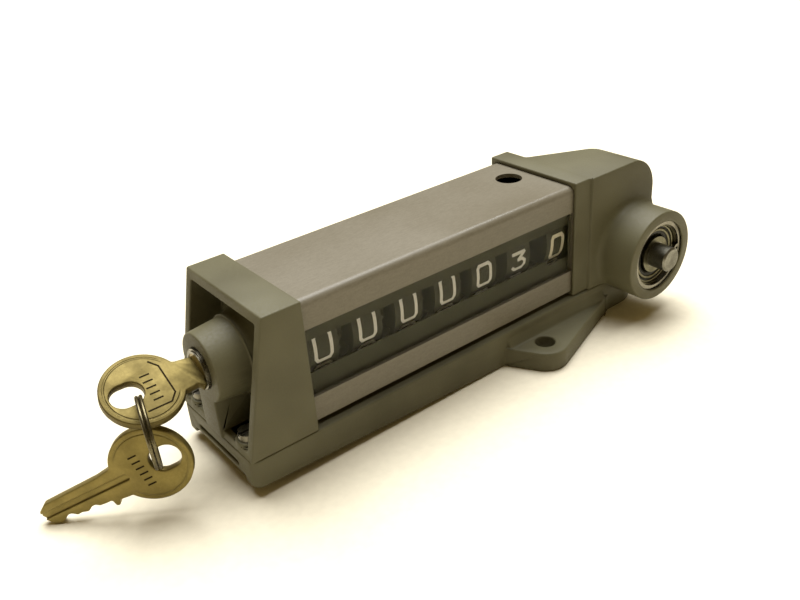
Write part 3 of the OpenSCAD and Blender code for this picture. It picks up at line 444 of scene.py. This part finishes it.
# stamped strokes on the bows, drawn as dark bars of painted shade, in millimetres from the middle of the bow: a row
# of plain dashes on each, with a bent border line round them on the lock key
stampShadeColours = {"low": "#1f190a", "high": "#29210c", "grainMm": 0.3, "rough": (0.85, 0.95), "bumpMm": 0.002,
              "specular": 0.1}
stampShadow = matteBlack("stampShadow", stampShadeColours)
stamps = {"width": 0.4, "proud": 0.05,
          "lock": [[(-1.6, -6.4), (4.2, -6.4), (6.0, -4.4), (6.0, 4.0), (4.4, 6.2)],
                   [(0.8, -4.2), (3.0, -4.2)], [(0.8, -2.4), (3.0, -2.4)], [(0.8, -0.6), (3.0, -0.6)],
                   [(0.8, 1.2), (3.0, 1.2)], [(0.8, 3.0), (3.0, 3.0)]],
          "spare": [[(1.6, -4.6), (3.6, -4.6)], [(1.6, -2.9), (3.6, -2.9)], [(1.6, -1.2), (3.6, -1.2)],
                    [(1.6, 0.5), (3.6, 0.5)], [(1.6, 2.2), (3.6, 2.2)], [(1.6, 3.9), (3.6, 3.9)]]}


def stampBow(name, lines, frameMatrix, face, body):
    shape = bmesh.new()
    for line in lines:
        points = [Vector((x, face * keyShape["thickness"] / 2, z)) for x, z in line]
        for start, end in zip(points, points[1:]):
            addBar(shape, start, end, 0.6 * stamps["width"], 2 * stamps["proud"], stamps["width"])
    bmesh.ops.scale(shape, vec=(mm, mm, mm), verts=shape.verts)
    bmesh.ops.transform(shape, matrix=frameMatrix, verts=shape.verts)
    return finishMesh(shape, name, stampShadow, body)


stampBow("lockKeyStamp", stamps["lock"], keyFrame(lockBow / mm, keyShape["turn"]), -1, "key")
stampBow("spareKeyStamp", stamps["spare"], spareFrame, 1, "spare")
print("keys rounded and stamped")


# Split ring of two turns: each lies flat, with a short crossing between them. Lengths in mm, turns in degrees
splitRing = {"radius": 8.4, "wire": 0.46, "step": 0.94, "crossing": 46.0, "centre": (-112.52, -6.33, 23.71),
             "turn": (71.83, 83.91, 56.19), "start": 140.0, "steps": 60, "crossingSteps": 10, "sides": 14}


def windRing():
    shape = bmesh.new()
    wire = bmesh.ops.create_circle(shape, segments=splitRing["sides"], radius=splitRing["wire"])["verts"]
    bmesh.ops.rotate(shape, matrix=Matrix.Rotation(math.radians(90), 4, "X"), verts=wire)
    bmesh.ops.translate(shape, vec=(splitRing["radius"], 0, -splitRing["step"] / 2), verts=wire)
    loop = wire + shape.edges[:]
    flatTurn = math.radians(360 - splitRing["crossing"])
    flat = (flatTurn, splitRing["steps"], 0.0)
    crossing = (math.radians(splitRing["crossing"]), splitRing["crossingSteps"], splitRing["step"])
    for angle, steps, rise in (flat, crossing, flat):
        loop = bmesh.ops.spin(shape, geom=loop, cent=(0, 0, 0), axis=(0, 0, 1), dvec=(0, 0, rise / steps),
                              angle=angle, steps=steps, use_duplicate=False)["geom_last"]
    bmesh.ops.holes_fill(shape, edges=[e for e in shape.edges if e.is_boundary], sides=0)
    bmesh.ops.recalc_face_normals(shape, faces=shape.faces)
    bmesh.ops.rotate(shape, matrix=Matrix.Rotation(math.radians(splitRing["start"]), 4, "Z"), verts=shape.verts)
    bmesh.ops.scale(shape, vec=(mm, mm, mm), verts=shape.verts)
    bmesh.ops.transform(shape, matrix=keyFrame(splitRing["centre"], splitRing["turn"]), verts=shape.verts)
    piece = finishMesh(shape, "splitRing", springSteel, "ring")
    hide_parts("key_ring")
    return piece


windRing()
print("ring wound")


# Pressed shield of the outer bearing: a rolled lip at each edge and a groove between. The profile runs
# inwards from the rim, as radius and depth in millimetres
bearingFace = {"x": 43.7, "z": 20.3, "front": -27.7, "lipDepth": 0.42, "sheet": 0.12, "steps": 72, "profile": [
    (9.28, 0.0), (9.28, -0.28), (9.05, -0.42), (8.8, -0.3), (8.65, 0.0), (8.3, 0.05), (8.0, -0.28),
    (7.7, -0.38), (7.4, -0.28), (7.15, 0.05), (6.5, 0.1), (6.3, -0.1), (6.12, 0.0)]}
shieldShading = {"groove": "#1b190e", "slope": "#565239", "lip": "#8f8a6f", "rough": (0.35, 0.55),
                "metallic": 0.6}


# Pressed steel with painted light by depth: a painted highlight on the lips, painted shade black in the groove, and
# smears of grime
def shadedShield(name, values):
    material, tree, shader, place = newMaterial(name, Metallic=values["metallic"])
    parts = addNode(tree, "ShaderNodeSeparateXYZ", {0: place}).outputs
    # smears about 1.4 mm across
    grime = addNode(tree, "ShaderNodeTexNoise", {"Vector": place, "Scale": 700.0, "Detail": 3.0}).outputs[0]
    # painted shade and highlight: dark towards the back of the groove, pale at the front of the lips
    depthShade = fadeValues(tree, parts[1], 1.0, 0.0, (bearingFace["front"] - bearingFace["lipDepth"]) * mm,
                      bearingFace["front"] * mm)
    mixed = addNode(tree, "ShaderNodeMath", {0: depthShade, 1: fadeValues(tree, grime, -0.15, 0.15, 0.3, 0.7)},
                    operation="ADD").outputs[0]
    tree.links.new(fadeColours(tree, mixed, [(0.1, values["groove"]), (0.5, values["slope"]),
                                             (0.8, values["lip"])]), shader.inputs["Base Color"])
    tree.links.new(fadeValues(tree, grime, *values["rough"], 0.3, 0.7), shader.inputs["Roughness"])
    return material


shieldSteel = shadedShield("shieldSteelPaintedShade", shieldShading)


def pressShield():
    shape = bmesh.new()
    rim = [shape.verts.new((r, y, 0)) for r, y in bearingFace["profile"]]
    edges = [shape.edges.new(pair) for pair in zip(rim, rim[1:])]
    bmesh.ops.spin(shape, geom=rim + edges, cent=(0, 0, 0), axis=(0, 1, 0), dvec=(0, 0, 0),
                   angle=math.radians(360), steps=bearingFace["steps"], use_merge=True, use_duplicate=False)
    bmesh.ops.remove_doubles(shape, verts=shape.verts, dist=1e-4)
    bmesh.ops.recalc_face_normals(shape, faces=shape.faces)
    if sum(f.normal.y * f.calc_area() for f in shape.faces) > 0:
        bmesh.ops.reverse_faces(shape, faces=shape.faces)
    bmesh.ops.solidify(shape, geom=shape.faces[:], thickness=bearingFace["sheet"])
    bmesh.ops.scale(shape, vec=(mm, mm, mm), verts=shape.verts)
    bmesh.ops.translate(shape, vec=(bearingFace["x"] * mm, bearingFace["front"] * mm, bearingFace["z"] * mm),
                        verts=shape.verts)
    piece = finishMesh(shape, "bearingShieldPressed", shieldSteel, "counter_frame")
    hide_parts("outer_bearing_shield")
    return piece


pressShield()
print("bearing shield pressed")


# a pale paper floor, one large soft panel overhead and a weak warm glow from the room
studio = {"world": "#ffdb92", "worldPower": 0.18, "floorHalf": 2.0, "floorLow": "#e6dfc9",
          "floorHigh": "#ece5cf", "panelPlace": (0.63, 0.84, 2.98), "panelAim": (-0.02, 0, 0),
          "panelSize": (2.8, 2.8), "panelPower": 236.0}
shape = bmesh.new()
bmesh.ops.create_grid(shape, x_segments=1, y_segments=1, size=studio["floorHalf"])
floorMesh = bpy.data.meshes.new("studioFloor")
shape.to_mesh(floorMesh)
shape.free()
floor = bpy.data.objects.new("studioFloor", floorMesh)
bpy.context.scene.collection.objects.link(floor)
floorPaper, tree, shader, place = newMaterial("paleFloorPaper", Roughness=0.9)
fibre = addNode(tree, "ShaderNodeTexNoise", {"Vector": place, "Scale": 400.0}).outputs[0]
tree.links.new(fadeColours(tree, fibre, [(0.3, studio["floorLow"]), (0.7, studio["floorHigh"])]),
               shader.inputs["Base Color"])
floorMesh.materials.append(floorPaper)

world = bpy.data.worlds.new("softWorld")
bpy.context.scene.world = world
world.use_nodes = True
world.node_tree.nodes["Background"].inputs["Color"].default_value = linear(studio["world"])
world.node_tree.nodes["Background"].inputs["Strength"].default_value = studio["worldPower"]


def softLight(name, place, target, size, power):
    data = bpy.data.lights.new(name, "AREA")
    data.shape = "RECTANGLE"
    data.size, data.size_y = size
    data.energy = power
    lamp = bpy.data.objects.new(name, data)
    bpy.context.scene.collection.objects.link(lamp)
    lamp.location = place
    lamp.rotation_euler = (Vector(target) - Vector(place)).to_track_quat("-Z", "Y").to_euler()


softLight("topPanel", studio["panelPlace"], studio["panelAim"], studio["panelSize"], studio["panelPower"])

# place in millimetres, three directions, and the focal length for a frame 800 wide
cameraView = {"place": (-158.35, -168.51, 139.91), "right": (0.77857, -0.62364, -0.07004),
              "up": (0.35078, 0.33992, 0.87259), "ahead": (0.52037, 0.70394, -0.48341),
              "focal": 851.35, "frameWidth": 800, "sensor": 36.0}
lens = bpy.data.cameras.new("productCamera")
lens.sensor_width = cameraView["sensor"]
lens.lens = cameraView["focal"] / cameraView["frameWidth"] * cameraView["sensor"]
lens.clip_start = 0.005
camera = bpy.data.objects.new("productCamera", lens)
bpy.context.scene.collection.objects.link(camera)
axes = Matrix((cameraView["right"], cameraView["up"], [-a for a in cameraView["ahead"]])).transposed()
camera.matrix_world = Matrix.Translation(Vector(cameraView["place"]) * mm) @ axes.to_4x4()
bpy.context.scene.camera = camera
bpy.context.scene.view_settings.view_transform = "Standard"
print("studio set")
